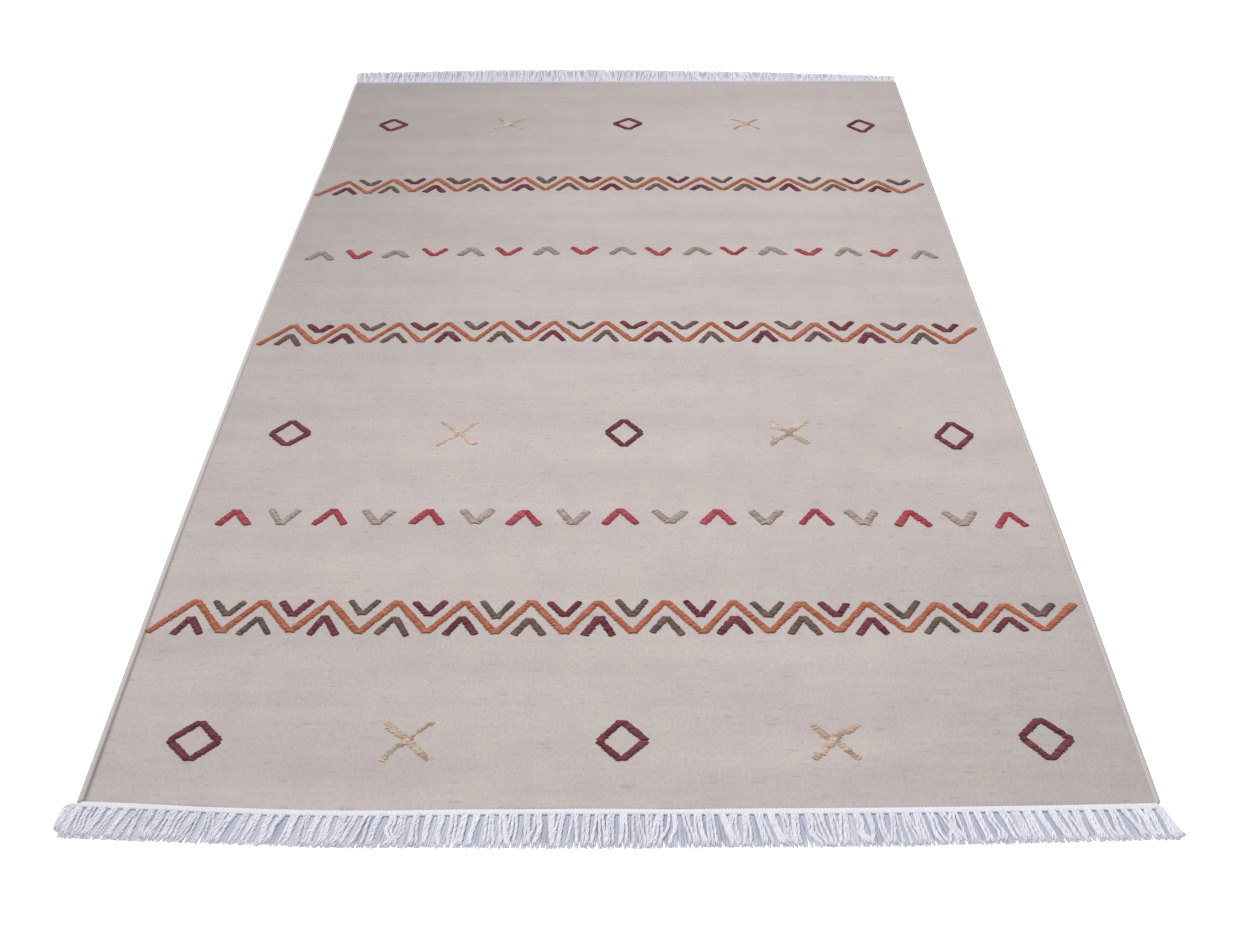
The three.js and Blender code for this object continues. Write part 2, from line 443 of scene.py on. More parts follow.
def makeSlubs(material):
    random = np.random.default_rng(slub["seed"])
    count = slub["weftCount"] + slub["warpCount"]
    isWeft = np.arange(count) < slub["weftCount"]
    weftLength = random.uniform(*slub["weftLengthMm"], count)
    length = np.where(isWeft, weftLength, random.uniform(*slub["warpLengthMm"], count))
    edge = slub["insetMm"] * mm
    x = random.uniform(fieldLow.x + edge, fieldHigh.x - edge, count)
    y = random.uniform(fieldLow.y + edge, fieldHigh.y - edge, count)
    heading = np.where(isWeft, 0, math.pi / 2) + random.normal(0, slub["turnRad"], count)
    radius = random.uniform(*slub["radiusMm"], count) * mm
    t = np.linspace(-0.5, 0.5, slub["rings"])
    reach = length[:, None] * t * mm
    bow = random.normal(0, slub["bowMm"], count)[:, None] * mm * np.cos(math.pi * t)
    alongX = x[:, None] + reach * np.cos(heading)[:, None] - bow * np.sin(heading)[:, None]
    alongY = y[:, None] + reach * np.sin(heading)[:, None] + bow * np.cos(heading)[:, None]
    crown = (field["thicknessMm"] + slub["proudMm"] + groundWave(alongX, alongY)) * mm - radius[:, None]
    centres = np.stack([alongX, alongY, crown - slub["endDip"] * radius[:, None] * (2 * t) ** 4], 2)
    blunt = slub["endBlunt"]
    swell = radius[:, None] * np.sqrt(np.clip(1 + blunt - (2 * t) ** 2, blunt, 1))
    isDark = isWeft & (random.uniform(0, 1, count) < slub["darkShare"])
    darkTone, plainTone, weftDrift, warpDrift = (
        random.uniform(*slub[part], count) for part in ("darkTone", "plainTone", "weftDrift", "warpDrift"))
    tone = np.where(isDark, darkTone, plainTone)
    drift = np.where(isWeft, weftDrift, warpDrift)
    mesh = yarnMesh("weft_slubs", centres, swell, {"tone": tone, "drift": drift})
    return addObject("weft_slubs", mesh, material)


# the motifs, charted in millimetres from the rug's middle. y is the row's middle, and the droops
# say how far its left and right ends hang back towards the near end
zigzag = {
    "rows": [
        {"y": 454, "leftDroop": 20, "rightDroop": 20, "height": 49, "above": ("olive", "maroon"),
         "firstPeakX": -538.7, "period": 85.8, "squat": (0.2, 0), "upperTick": (4, 24.5),
         "lowerTick": (-3, -26), "tickStroke": 11, "tickSquat": 0},
        {"y": -28, "leftDroop": 12, "rightDroop": 12, "height": 52, "above": ("maroon", "olive"),
         "firstPeakX": -546, "period": 86.4, "squat": (0.14, 0), "upperTick": (5.5, 26),
         "lowerTick": (-0.6, -28), "tickStroke": 10.8, "tickSquat": 0},
        {"y": -635, "leftDroop": 0, "rightDroop": 0, "height": 53, "above": ("olive", "maroon"),
         "firstPeakX": -545, "period": 86.3, "squat": (0.08, 0.1), "upperTick": (1, 27),
         "lowerTick": (0, -29), "tickStroke": 9.8, "tickSquat": 0.2},
    ],  # squat: how much lower its peaks, and higher its valleys, get to the right; tickSquat: its ticks
    "startX": -594,
    "peaks": 13,
    "endX": 581,
    "stroke": 9.1,
    "uneven": 0.12,
    "jitter": 0.8,
    "tickHalfWidth": 18.8,  # the ticks give the heights of their tip and of their arms' ends
    "tickShare": {"olive": 0.9, "maroon": 1.0},  # the olive yarn is drawn a little tighter
}
chevrons = {  # up and down: yarn, half width, height, stroke, and how far the yarn has darkened
    "rows": [
        {"y": 213.5, "leftDroop": 22, "rightDroop": 19, "firstX": -543, "pitch": 67.4,
         "up": ("taupe", 21, 22.5, 12, 0.4), "down": ("red", 21, 22.5, 10.3, 0)},
        {"y": -457.5, "leftDroop": 0, "rightDroop": 5, "firstX": -534.5, "pitch": 66.8,
         "up": ("red", 21.5, 29, 10.8, 0), "down": ("taupe", 20.5, 27, 11.8, 0.05)},
    ],
    "count": 17,
    "jitter": 1.1,  # the zigzags' ticks are as uneven as the chevrons
    "widthJitter": 0.08,
}
diamonds = {  # crossStrokes: the widths of a cross's two strokes, and how far its yarn has darkened
    "rows": [
        {"y": 703, "leftDroop": 8, "rightDroop": 23, "diamondX": (-488, 6, 493), "halfHeight": 25,
         "crossX": (-242, 253), "crossHalf": (28, 23),
         "crossStrokes": ((7.5, 7.5, 0), (7, 7.5, 0.25))},
        {"y": -282, "leftDroop": 0, "rightDroop": 10, "diamondX": (-496, 2, 493), "halfHeight": 29,
         "crossX": (-244, 247), "crossHalf": (26.5, 26),
         "crossStrokes": ((7.5, 7, -0.1), (9.5, 10.5, 0.2))},
        {"y": -819, "leftDroop": 0, "rightDroop": -6, "diamondX": (-489, 4, 492), "halfHeight": 27,
         "crossX": (-244.5, 249.5), "crossHalf": (26.5, 25),
         "crossStrokes": ((11, 9, 0.1), (8.5, 9, 0.35))},
    ],
    "halfWidth": 27.3,
    "stroke": 8.9,
    "jitter": 1.2,
    "crossPoints": 6,
    "crossJitter": 1.6,
    "crossOver": (0, 0.6),  # the second stroke passes over the first
    "cross": {"low": 0.5, "sink": 0.5, "ripple": 0.5, "pitch": 2.1, "uneven": 0.28, "ragged": 0.16,
              "sunkShade": 0.4},  # painted shade: darker where the yarn sinks low, paler where it stands high
}


def rowY(row, x):
    share = np.abs(np.asarray(x, float)) / outline["halfWidthMm"]
    return row["y"] - np.where(np.asarray(x) < 0, row["leftDroop"], row["rightDroop"]) * share ** 3


def chevron(row, x, tipY, armY, halfWidth):
    xs = np.array([x - halfWidth, x, x + halfWidth])
    return np.stack([xs, rowY(row, x) + np.array([armY, tipY, armY])], 1)


def chartStrokes(random):
    strokes = []
    for row in zigzag["rows"]:
        peakX = row["firstPeakX"] + row["period"] * np.arange(zigzag["peaks"])
        valleyX = peakX + row["period"] / 2
        xs = np.concatenate([[zigzag["startX"]], np.stack([peakX, valleyX], 1).ravel(), [zigzag["endX"]]])
        isPeak = np.arange(len(xs)) % 2 == 1
        squat = np.where(isPeak, *row["squat"]) * np.clip(xs / outline["halfWidthMm"], 0, 1)
        high = np.where(isPeak, 0.5 - squat, squat - 0.5)
        jitter = random.normal(0, zigzag["jitter"], (len(xs), 2))
        path = np.stack([xs, rowY(row, xs) + row["height"] * high], 1) + jitter
        strokes.append({
            "yarn": "orange", "path": path, "width": zigzag["stroke"], "uneven": zigzag["uneven"]})
        for k in range(zigzag["peaks"]):
            flatter = 1 - row["tickSquat"] * max(peakX[k] / outline["halfWidthMm"], 0)
            ticks = [(valleyX[k], row["upperTick"], k % 2), (peakX[k], row["lowerTick"], 1 - k % 2)]
            for x, (tipY, armY), which in ticks:
                yarn = row["above"][which]
                width = row["tickStroke"] * zigzag["tickShare"][yarn]
                path = chevron(row, x, tipY, tipY + (armY - tipY) * flatter, zigzag["tickHalfWidth"])
                strokes.append({"yarn": yarn, "path": path, "width": width})
    for row in chevrons["rows"]:
        for k in range(chevrons["count"]):
            x = row["firstX"] + row["pitch"] * k
            yarn, halfWidth, height, width, deep = row["up"] if k % 2 == 0 else row["down"]
            tipY = height / 2 * (1 if k % 2 == 0 else -1)
            path = chevron(row, x, tipY, -tipY, halfWidth)
            strokes.append({"yarn": yarn, "path": path, "width": width, "deep": deep})
    for row in diamonds["rows"]:
        for x in row["diamondX"]:
            aside, high = diamonds["halfWidth"], row["halfHeight"]
            corners = np.array([(0, high), (-aside, 0), (0, -high), (aside, 0), (0, high)], float)
            corners[:4] += random.normal(0, diamonds["jitter"], (4, 2))
            corners[4] = corners[0]
            path = corners + (x, float(rowY(row, x)))
            strokes.append({"yarn": "maroon", "path": path, "width": diamonds["stroke"], "closed": True})
        for x, (*widths, deep) in zip(row["crossX"], row["crossStrokes"]):
            for lean, width, over in zip((-1, 1), widths, diamonds["crossOver"]):
                t = np.linspace(-1, 1, diamonds["crossPoints"])
                path = np.stack([t * row["crossHalf"][0], lean * t * row["crossHalf"][1]], 1)
                path += random.normal(0, diamonds["crossJitter"], path.shape) + (x, float(rowY(row, x)))
                strokes.append({
                    "yarn": "cream", "path": path, "width": width, "deep": deep, "over": over,
                    **diamonds["cross"]})
    for stroke in strokes:
        if stroke["yarn"] not in ("orange", "cream") and not stroke.get("closed"):
            stroke["path"] = stroke["path"] + random.normal(0, chevrons["jitter"], stroke["path"].shape)
            stroke["width"] *= 1 + random.normal(0, chevrons["widthJitter"])
    return strokes


# one stitch: a yarn that comes up beside the stroke, floats over it close to the weft's own
# direction and goes down again. Level floats are what gives the strokes their flat peaks and ends
stitch = {
    "seed": 23,
    "pitchJitterMm": 0.35,
    "radiusMm": 1.3,
    "lean": 0.38,  # share of the stroke's own slope that a float leans the other way
    "leanJitterDeg": 5,
    "softenMm": 2.5,
    "across": (-1.0, -0.82, -0.42, 0.0, 0.42, 0.82, 1.0),  # share of the stroke's half width
    "riseMm": (-0.8, 0.5, 1.25, 1.5, 1.25, 0.5, -0.8),  # the yarn's middle above the ground
    "thick": (0.75, 0.95, 1.0, 1.0, 1.0, 0.95, 0.75),
    "thickJitter": 0.07,
    "tuck": 0.25,  # how far a stitch's ends are drawn in, as a share of its radius
    "endShare": 0.82,  # share of a stroke's width at its very ends
    "endMm": 12,  # the length in which it would grow from nothing to the whole width
    "slowMm": 12,  # over what length the hand's pull, the yarn's colour and its painted sunk shade change
    "leastCrossing": 0.8,
    "heightJitter": 0.1,
    "leastHeight": 0.2,
    "overMm": 6,
    "drift": (0.5, 0.35, 0.15),  # its mean, and how much it changes slowly and from stitch to stitch
    "tone": (0.25, 0.25),
}
plainStroke = {  # what a stroke has unless its chart says otherwise
    "closed": False, "pitch": 2.5, "uneven": 0.07, "ragged": 0.07, "ripple": 0, "low": 1, "sink": 0,
    "over": 0, "deep": 0, "sunkShade": 0,
}


def layStitches(stroke, random):
    stroke = {**plainStroke, **stroke}
    path = stroke["path"]
    run = np.concatenate([[0], np.cumsum(np.linalg.norm(np.diff(path, axis=0), axis=1))])
    count = round(run[-1] / stroke["pitch"])
    at = (np.arange(count) + 0.5) / count * run[-1]
    at = at + random.uniform(-1, 1, count) * stitch["pitchJitterMm"]

    def pointAt(s):
        s = np.mod(s, run[-1]) if stroke["closed"] else np.clip(s, 0, run[-1])
        return np.stack([np.interp(s, run, path[:, 0]), np.interp(s, run, path[:, 1])], 1)

    ahead, behind = pointAt(at + stitch["softenMm"]), pointAt(at - stitch["softenMm"])
    middle = (ahead + behind + 2 * pointAt(at)) / 4
    tangent = ahead - behind
    heading = np.arctan2(tangent[:, 1], tangent[:, 0])
    slope = (heading + math.pi / 2) % math.pi - math.pi / 2
    direction = -stitch["lean"] * slope + np.radians(random.normal(0, stitch["leanJitterDeg"], count))
    fromEnd = np.minimum(at, run[-1] - at)
    ends = np.clip(stitch["endShare"] + fromEnd / stitch["endMm"], 0, 1)
    ends = np.ones(count) if stroke["closed"] else ends
    knots = np.arange(0, run[-1] + stitch["slowMm"], stitch["slowMm"])
    slow = np.interp(at, knots, random.normal(0, 1, len(knots)))
    crossing = np.clip(np.abs(np.sin(slope - direction)), stitch["leastCrossing"], 1)
    ragged = random.normal(0, stroke["ragged"], count)
    half = stroke["width"] / 2 * ends * (1 + stroke["uneven"] * slow + ragged) / crossing
    half = half - stitch["radiusMm"] * stitch["tuck"]
    along = np.stack([np.cos(direction), np.sin(direction)], 1)
    spread = np.array(stitch["across"])[None] * half[:, None]
    x = (middle[:, :1] + spread * along[:, :1]) * mm
    y = (middle[:, 1:] + spread * along[:, 1:]) * mm
    height = 1 + stroke["ripple"] * slow + random.normal(0, stitch["heightJitter"], count)
    height = stroke["low"] * np.maximum(height, stitch["leastHeight"])
    rise = np.array(stitch["riseMm"])[None] * height[:, None] - stroke["sink"]
    over = stroke["over"] * np.exp(-((at - run[-1] / 2) / stitch["overMm"]) ** 2)
    z = (field["thicknessMm"] + groundWave(x, y) + rise + over[:, None]) * mm
    thick = stitch["radiusMm"] * mm * (1 + random.normal(0, stitch["thickJitter"], count))
    radius = thick[:, None] * np.array(stitch["thick"])[None]
    sideways = np.stack([along[:, 1], -along[:, 0], np.zeros(count)], 1)[:, None]
    meanDrift, slowDrift, ownDrift = stitch["drift"]
    drift = np.clip(meanDrift + slowDrift * slow + random.normal(0, ownDrift, count), 0, 1)
    # the yarn's own darkening, with painted shade where the stroke sinks low and painted light where it
    # stands high
    sunkShade = stroke["deep"] - stroke["sunkShade"] * slow
    tone = np.clip(random.normal(*stitch["tone"], count) + sunkShade, 0, 1)
    return np.stack([x, y, z], 2), radius, sideways, drift, tone


def makeMotifs():
    random = np.random.default_rng(stitch["seed"])
    laid = {name: [] for name in yarns}
    for stroke in chartStrokes(random):
        laid[stroke["yarn"]].append(layStitches(stroke, random))
    pieces = {}
    for name, rows in laid.items():
        centres, radius, sideways, drift, tone = (np.concatenate(part) for part in zip(*rows))
        material = pliedYarn(f"dyedWoolYarn_{name}", yarns[name], yarnFinish, yarnTwist)
        values = {"tone": tone, "drift": drift}
        mesh = yarnMesh(f"motif_yarn_{name}", centres, radius, values, sideways=sideways)
        pieces[name] = addObject(f"motif_yarn_{name}", mesh, material)
        print(f"motifs: {name} has {len(centres)} stitches")
    return pieces


# white cotton, spun and loosely plied, left undyed: bright where light strikes the top of the strands. Its
# deep colour is painted shade, the cool grey of the gaps where strands lie under others
cotton = {
    "colours": {"main": "#d9dae3", "pale": "#e1e1e9", "deep": "#a7abbc"},
    "finish": {"Roughness": 0.85, "IOR": 1.5, "Specular IOR Level": 0.2, "Sheen Weight": 0.1},
    "twist": {"plies": 2, "pitchMm": 4.0, "depthMm": 0.1, "strength": 0.6},
}
fringe = {
    "seed": 31,
    "tassels": 90,
    "locks": 3,  # locks in a tassel
    "strands": 3,  # strands loosely twisted into a lock
    "fanLocks": 7,  # locks spread round a corner
    "rings": 13,
    "radiusMm": (1.0, 1.3),
    "twistMm": 0.95,  # how far a strand lies from the middle of its lock
    "twistTurns": (1.3, 2.2),
    "twistHeight": 0.8,  # the twist's height for its width
    "looseAt": (0, 0.75, 1),  # where along a lock, from root to tip, its twist opens
    "loose": (1, 1, 1.5),
    "thickAt": (0, 0.1, 0.85, 1),
    "thick": (0.9, 1, 0.95, 0.6),
    "clear": 1.02,  # the lowest that a strand's middle lies, as a share of its radius
    "rootJitterMm": 0.4,
    "rootSpreadMm": 2.6,
    "tipSpreadMm": 1.9,
    "fullness": (0.5, 2.0),  # some tassels are drawn together and some spread over the gaps
    "strayShare": 0.2,  # locks that have come away from their tassel
    "strayMm": 5,
    "shortMm": 4.2,
    "strandShortMm": 2.5,
    "waveMm": 1.6,
    "waveTurns": (0.6, 1.4),
    "fanWave": 0.4,  # the fans wave less
    "leanRise": 3,
    "leanJitterMm": 4.5,
    "overhangMm": 9,  # furthest that a tip lies out past the header's end
    "rootZMm": (2.4, 3.2),
    "tipZMm": (0.9, 1.9),
    "humpMm": (-0.4, 1.0),
    "tone": (0.16, 0.12, 0.02),  # painted shade, from root to tip: a little at the root, almost none at the tip
    "tasselTone": 0.1,  # how much the painted shade differs from tassel to tassel and from strand to strand
    "strandTone": 0.08,
    "ends": {  # how far the tips lie from the rug's middle, from its left side to its right
        "near": {
            # headerShade: how far the header is drawn towards the painted shade grey, more at the far end
            "sign": -1, "headerShade": 0.13, "leanMm": 9, "tipsMm": (942, 953, 953, 950, 941),
            # painted shade on the underlay from root to tip: dark all along, as painted shadow under the
            # header and between the strands, and pale at the tips
            "underPaintedShade": (1.0, 0.9, 0.95, 1.0, 0.9, 0.15),
            "underShade": (0.55, 0.75, 0.9, 1.0, 1.0),
            "fans": [  # root, pull of the outermost and innermost lock, tip of both
                ((-594, -902), ((-616, -895), (-601, -915)), ((-614, -931), (-600, -940))),
                ((594, -902), ((600, -917), (598, -919)), ((612, -936), (602, -941))),
            ],
        },
        "far": {
            "sign": 1, "headerShade": 0.5, "leanMm": 3, "tipsMm": (958, 970, 970, 956, 935),
            # at the far end the underlay's painted shade is light at the root and darkest past the middle
            # of the strands
            "underPaintedShade": (0.1, 0.2, 0.4, 0.8, 0.7, 0.1),
            "underShade": (1.0, 1.0),
            "fans": [
                ((-598, 903), ((-606, 922), (-598, 925)), ((-607, 950), (-597, 954))),
                ((597, 902), ((601, 917), (595, 917)), ((602, 933), (593, 935))),
            ],
        },
    },
}
shadeUnderlay = {  # strands that have fallen flat under the others, coloured with painted shade so that they fill the gaps between the tassels
    "seed": 37,
    "strands": 5,
    "fanStrands": 10,
    "rings": 6,
    "radiusMm": (1.9, 2.2),
    "flat": 0.5,  # height for its width
    "thickAt": (0, 0.8, 1),
    "thick": (1, 1, 0.7),
    "rootShare": 0.995,  # how much of the header's length has roots
    "shortMm": 2,
    "jitterMm": 0.8,
    "patchy": 0.2,
    "strandTone": 0.05,
}
header = {
    "widthMm": 8.8,
    "lapMm": 2.8,  # how far it covers the field's end
    "shortMm": 6,  # how far it stops short of the corners
    "plies": 4,
    "plyRadiusMm": 1.9,
    "coilMm": (2.3, 0.4),  # across and up
    "pitchMm": 16,
    "stepMm": 1.8,
    "middleMm": 2.4,
    "drift": 0.8,
    "bandMm": 9,  # points of the comb this near its inner edge are its header's
}


def headerHalf(node):
    points = cadPoints(node)
    inner = np.abs(points[:, 1]) < np.abs(points[:, 1]).min() + header["bandMm"] * mm
    return points[inner, 0].max()


# where strands with these roots start and end along the rug, and how far their tips lean outwards
def strandRun(end, half, rootX):
    root = np.abs(endY(end["sign"], rootX)) + (header["widthMm"] / 2 - header["lapMm"]) * mm
    tip = np.interp(rootX / half, np.linspace(-1, 1, len(end["tipsMm"])), end["tipsMm"]) * mm
    lean = end["leanMm"] * mm * np.tanh(fringe["leanRise"] * rootX / half)
    return end["sign"] * root, tip, lean


# paths that fan out round the corners, each bent from its root towards a pull and on to its tip
def fanPaths(end, count, t):
    share = np.linspace(0, 1, count)[:, None, None]
    s = t[:, None]
    paths = []
    for root, pulls, tips in end["fans"]:
        pull = np.array(pulls[0]) * (1 - share) + np.array(pulls[1]) * share
        tip = np.array(tips[0]) * (1 - share) + np.array(tips[1]) * share
        paths.append(((1 - s) ** 2 * np.array(root) + 2 * s * (1 - s) * pull + s ** 2 * tip) * mm)
    return np.concatenate(paths)


def makeFringe(name, material):
    node = f"fringe_{name}"
    end = fringe["ends"][name]
    sign = end["sign"]
    random = np.random.default_rng(fringe["seed"] + sign)
    half = headerHalf(node)
    tassels, perTassel = fringe["tassels"], fringe["locks"]
    place = np.arange(tassels * perTassel)
    middle = -half + 2 * half * (place // perTassel + 0.5) / tassels
    aside = (place % perTassel - (perTassel - 1) / 2) * fringe["rootSpreadMm"] * mm
    rootX = middle + aside + random.normal(0, fringe["rootJitterMm"], len(place)) * mm
    rootY, tip, lean = strandRun(end, half, rootX)
    lean += np.repeat(random.normal(0, fringe["leanJitterMm"], tassels), perTassel) * mm
    outermost = half + fringe["overhangMm"] * mm
    isStray = random.uniform(0, 1, len(place)) < fringe["strayShare"]
    spread = np.where(isStray, fringe["strayMm"], fringe["tipSpreadMm"]) * mm
    fullness = random.uniform(*fringe["fullness"], tassels).repeat(perTassel)
    tipX = middle + fullness * aside + lean + random.normal(0, 1, len(place)) * spread
    tipX = np.clip(tipX, -outermost, outermost)
    tipY = sign * (tip - random.uniform(0, fringe["shortMm"], len(place)) * mm)

    # the locks: wavy, with more of them fanned round the corners
    t = np.linspace(0, 1, fringe["rings"])
    fan = fanPaths(end, fringe["fanLocks"], t)
    lockX = np.concatenate([rootX[:, None] + (tipX - rootX)[:, None] * t, fan[:, :, 0]])
    lockY = np.concatenate([rootY[:, None] + (tipY - rootY)[:, None] * t, fan[:, :, 1]])
    locks = len(lockX)
    bundle = np.concatenate([place // perTassel, tassels + np.arange(len(fan))])
    bundles = tassels + len(fan)
    turns = random.uniform(*fringe["waveTurns"], bundles)[:, None] * t
    turns = turns + random.uniform(0, 1, bundles)[:, None]
    wave = fringe["waveMm"] * mm * random.normal(0, 1, bundles)
    wave[tassels:] *= fringe["fanWave"]
    lockX = lockX + (wave[:, None] * np.sin(2 * math.pi * turns) * t)[bundle]
    rootZ = random.uniform(*fringe["rootZMm"], locks)[:, None]
    tipZ = random.uniform(*fringe["tipZMm"], locks)[:, None]
    hump = random.uniform(*fringe["humpMm"], locks)[:, None] * np.sin(math.pi * t)
    lockZ = (rootZ * (1 - t) + tipZ * t + hump) * mm

    # the strands: each winds round the middle of its lock and comes loose near the tip
    parent = np.repeat(np.arange(locks), fringe["strands"])
    count = len(parent)
    start = np.tile(np.arange(fringe["strands"]) / fringe["strands"], locks)
    start = start + random.uniform(0, 1, locks)[parent]
    wound = random.uniform(*fringe["twistTurns"], locks)[parent]
    turn = 2 * math.pi * (start[:, None] + wound[:, None] * t)
    loose = fringe["twistMm"] * mm * np.interp(t, fringe["looseAt"], fringe["loose"])
    short = random.uniform(0, fringe["strandShortMm"], count)[:, None] * mm * t
    thick = random.uniform(*fringe["radiusMm"], count) * mm
    radius = thick[:, None] * np.interp(t, fringe["thickAt"], fringe["thick"])
    x = lockX[parent] + loose * np.cos(turn)
    y = lockY[parent] - sign * short
    z = lockZ[parent] + fringe["twistHeight"] * loose * np.sin(turn)
    z = np.maximum(z, radius * fringe["clear"])
    tone = np.interp(t, np.linspace(0, 1, len(fringe["tone"])), fringe["tone"])
    shade = random.normal(0, fringe["tasselTone"], bundles)[bundle][parent]
    shade = shade + random.normal(0, fringe["strandTone"], count)
    tone = np.clip(tone + shade[:, None], 0, 1)
    values = {"tone": tone, "drift": random.uniform(0, 1, count)}
    mesh = yarnMesh(f"{node}_strands", np.stack([x, y, z], 2), radius, values)
    print(f"fringe: {name} end has {count} strands")
    return addObject(f"{node}_strands", mesh, material)


def makeShadeUnderlay(name, material):
    node = f"fringe_{name}"
    end = fringe["ends"][name]
    random = np.random.default_rng(shadeUnderlay["seed"] + end["sign"])
    half = headerHalf(node)
    rootX = half * shadeUnderlay["rootShare"] * np.linspace(-1, 1, fringe["tassels"] * shadeUnderlay["strands"])
    rootY, tip, lean = strandRun(end, half, rootX)
    tipX = rootX + lean + random.normal(0, shadeUnderlay["jitterMm"], len(rootX)) * mm
    tipY = end["sign"] * (tip - random.uniform(0, shadeUnderlay["shortMm"], len(rootX)) * mm)
    t = np.linspace(0, 1, shadeUnderlay["rings"])
    fan = fanPaths(end, shadeUnderlay["fanStrands"], t)
    x = np.concatenate([rootX[:, None] + (tipX - rootX)[:, None] * t, fan[:, :, 0]])
    y = np.concatenate([rootY[:, None] + (tipY - rootY)[:, None] * t, fan[:, :, 1]])
    count = len(x)
    thick = random.uniform(*shadeUnderlay["radiusMm"], count)[:, None] * mm
    radius = thick * np.interp(t, shadeUnderlay["thickAt"], shadeUnderlay["thick"])
    z = radius * shadeUnderlay["flat"] * fringe["clear"]
    tone = np.interp(t, np.linspace(0, 1, len(end["underPaintedShade"])), end["underPaintedShade"])
    shade = np.interp(x[:, 0] / half, np.linspace(-1, 1, len(end["underShade"])), end["underShade"])
    groups = count // shadeUnderlay["strands"] + 1
    patchy = random.normal(0, shadeUnderlay["patchy"], groups).repeat(shadeUnderlay["strands"])[:count]
    shade = shade * (1 + patchy)
    strandTone = random.normal(0, shadeUnderlay["strandTone"], count)
    tone = np.clip(tone * shade[:, None] + strandTone[:, None], 0, 1)
    values = {"tone": tone, "drift": random.uniform(0, 1, count)}
    mesh = yarnMesh(f"{node}_underlay", np.stack([x, y, z], 2), radius, values, squash=shadeUnderlay["flat"])
    return addObject(f"{node}_underlay", mesh, material)


# the header that holds the tassels: a twined cotton rope along the end of the field
def makeHeader(name, material):
    node = f"fringe_{name}"
    end = fringe["ends"][name]
    sign = end["sign"]
    half = headerHalf(node) - header["shortMm"] * mm
    steps = round(2 * half / (header["stepMm"] * mm))
    x = np.linspace(-half, half, steps)
    middleY = endY(sign, x) + sign * (header["widthMm"] / 2 - header["lapMm"]) * mm
    ply = np.arange(header["plies"])[:, None]
    turn = 2 * math.pi * (x[None] / (header["pitchMm"] * mm) + ply / header["plies"])
    centres = np.stack([
        np.broadcast_to(x, turn.shape),
        middleY + header["coilMm"][0] * mm * np.cos(turn),
        header["middleMm"] * mm + header["coilMm"][1] * mm * np.sin(turn),
    ], 2)
    radius = np.full(turn.shape, header["plyRadiusMm"] * mm)
    plain = np.ones(header["plies"])
    values = {"tone": end["headerShade"] * plain, "drift": header["drift"] * plain}
    mesh = yarnMesh(f"{node}_header", centres, radius, values)
    return addObject(f"{node}_header", mesh, material)


# pale cotton cord laid along the long edges and overcast: close slanting wraps, a little grey
cord = {
    "widthMm": 8.0,
    "heightMm": 4.8,
    "lapMm": 2.0,  # how far it covers the field's edge
    "shortMm": 2.0,  # how far it stops short of the corners
    "wrapMm": 5.0,
    "ringsPerWrap": 4,
    "swell": 0.14,
    "slant": 0.5,
    "sides": 8,
    "colours": {"main": "#b2aeac", "pale": "#cbc8c6", "deep": "#a29d9a"},
    "drift": {"left": 0.9, "right": 0.1},  # the left one is paler: painted light, where the key light from the left falls on it
    "toneAtMm": (-900, 0, 900),  # and greyer towards the near end
    "tone": {"left": (0.45, 0.1, 0.1), "right": (0.1, 0.1, 0.1)},
    "finish": {"Roughness": 0.9, "IOR": 1.5, "Specular IOR Level": 0.15, "Sheen Weight": 0.08},
    "twist": {"plies": 3, "pitchMm": 3.4, "depthMm": 0.2, "strength": 0.6},
}


def makeCord(name, sign, material):
    low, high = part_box(f"edge_cord_{name}")
    short = cord["shortMm"] * mm
    y = np.arange(low.y + short, high.y - short, cord["wrapMm"] * mm / cord["ringsPerWrap"])
    x = sideX(sign, y) + sign * (cord["widthMm"] / 2 - cord["lapMm"]) * mm
    z = np.full_like(y, cord["heightMm"] / 2 * mm)
    centres = np.stack([x, y, z], 1)[None]
    phase = 2 * math.pi * np.arange(len(y)) / cord["ringsPerWrap"]
    full = cord["widthMm"] / 2 * mm
    radius = full * (1 - cord["swell"] * (0.5 + 0.5 * np.cos(phase)))[None]
    tone = np.interp(y / mm, cord["toneAtMm"], cord["tone"][name])
    values = {"tone": tone, "drift": cord["drift"][name]}
    mesh = yarnMesh(f"edge_cord_{name}_wraps", centres, radius, values, sides=cord["sides"],
                    squash=cord["heightMm"] / cord["widthMm"], skew=cord["slant"])
    return addObject(f"edge_cord_{name}_wraps", mesh, material)


# plain soft light: a pale sky, a broad sun from the far left and a faint pool over the middle
studio = {
    "skyHex": "#eef1fb",
    "sky": 0.45,
    "keyHex": "#fff7ec",
    "key": 1.75,
    "keyFrom": (-0.9, 0.7, 1.7),
    "keySoftDeg": 20,
    "pool": 17,
    "poolAt": (0.16, -0.22, 1.7),
    "poolSize": 1.4,
    "floorHex": "#f6f6f7",
    "floorRoughness": 0.9,
    "floorGlow": 0.9,  # the white floor is lit from below as well, so it stays white to the rug's edges
    "floorSize": 40,
    "floorZ": -0.4 * mm,
}


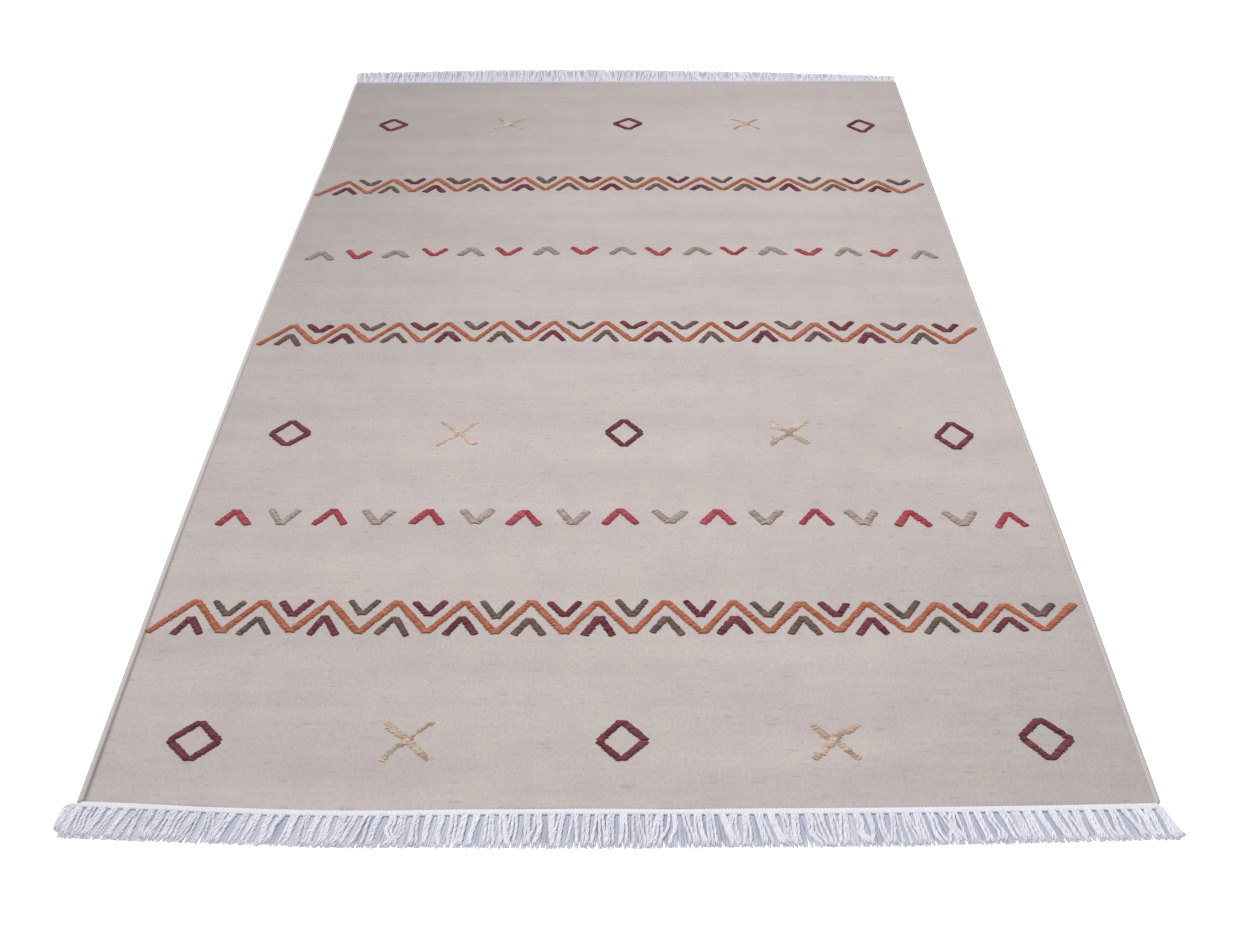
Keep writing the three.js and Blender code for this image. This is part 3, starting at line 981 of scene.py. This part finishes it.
def makeStudio():
    world = bpy.data.worlds.new("softStudio")
    world.use_nodes = True
    background = world.node_tree.nodes["Background"]
    background.inputs["Color"].default_value = linear(studio["skyHex"])
    background.inputs["Strength"].default_value = studio["sky"]
    bpy.context.scene.world = world

    keyData = bpy.data.lights.new("keyLight", "SUN")
    keyData.energy = studio["key"]
    keyData.color = linear(studio["keyHex"])[:3]
    keyData.angle = math.radians(studio["keySoftDeg"])
    key = bpy.data.objects.new("keyLight", keyData)
    fromX, fromY, fromZ = studio["keyFrom"]
    key.rotation_euler = (math.atan2(math.hypot(fromX, fromY), fromZ), 0, math.atan2(fromX, -fromY))
    bpy.context.scene.collection.objects.link(key)

    poolData = bpy.data.lights.new("poolLight", "AREA")
    poolData.energy = studio["pool"]
    poolData.size = studio["poolSize"]
    pool = bpy.data.objects.new("poolLight", poolData)
    pool.location = studio["poolAt"]
    pool.visible_camera = False
    bpy.context.scene.collection.objects.link(pool)

    material = startMaterial("mattWhiteFloor", {
        "Base Color": linear(studio["floorHex"]), "Roughness": studio["floorRoughness"],
        "Emission Color": linear(studio["floorHex"]), "Emission Strength": studio["floorGlow"]})[0]
    side = studio["floorSize"] / 2
    mesh = bpy.data.meshes.new("floor")
    corners = [(-side, -side), (side, -side), (side, side), (-side, side)]
    mesh.from_pydata([(x, y, studio["floorZ"]) for x, y in corners], [], [(0, 1, 2, 3)])
    addObject("floor", mesh, material)


# where the picture was taken from: standing at the near end, looking down along the rug
shot = {
    "lensMm": 33.6,
    "sensorMm": 36,
    "place": (0.0167, -1.5860, 1.1527),  # in metres
    "downDeg": 43.155,
    "turnDeg": 0.539,
    "rollDeg": -0.386,
    "farM": 50,
}


def makeCamera():
    data = bpy.data.cameras.new("camera")
    data.lens = shot["lensMm"]
    data.sensor_width = shot["sensorMm"]
    data.clip_end = shot["farM"]
    camera = bpy.data.objects.new("camera", data)
    turned = Matrix.Rotation(math.radians(shot["turnDeg"]), 4, "Z")
    tilted = Matrix.Rotation(math.radians(90 - shot["downDeg"]), 4, "X")
    rolled = Matrix.Rotation(math.radians(shot["rollDeg"]), 4, "Z")
    camera.matrix_world = Matrix.Translation(shot["place"]) @ turned @ tilted @ rolled
    bpy.context.scene.collection.objects.link(camera)
    bpy.context.scene.camera = camera


bpy.context.scene.view_settings.view_transform = "Standard"
makeStudio()
makeCamera()
print("studio and camera placed")

ground = makeField(flatWovenWool())
slubs = makeSlubs(pliedYarn("handSpunSlub", slub["colours"], yarnFinish, yarnTwist))
print("field woven")
motifs = makeMotifs()

cottonMaterial = pliedYarn("pliedWhiteCotton", cotton["colours"], cotton["finish"], cotton["twist"])
fringePieces = {}
for endName in fringe["ends"]:
    makers = (makeFringe, makeShadeUnderlay, makeHeader)
    fringePieces[endName] = [make(endName, cottonMaterial) for make in makers]
print("fringes and headers tied")

cordMaterial = pliedYarn("overcastCord", cord["colours"], cord["finish"], cord["twist"])
cords = {"left": makeCord("left", -1, cordMaterial), "right": makeCord("right", 1, cordMaterial)}
print("edges corded")

# every piece rides on the rug, and what covers a solid stands for it
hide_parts("woven_field")
for endName, endPieces in fringePieces.items():
    for piece in endPieces:
        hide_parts(f"fringe_{endName}")
for sideName, piece in cords.items():
    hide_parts(f"edge_cord_{sideName}")
trimmings = [slubs, *motifs.values(), *fringePieces["near"], *fringePieces["far"], *cords.values()]
for piece in [ground, *trimmings]:
    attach(piece, "root")
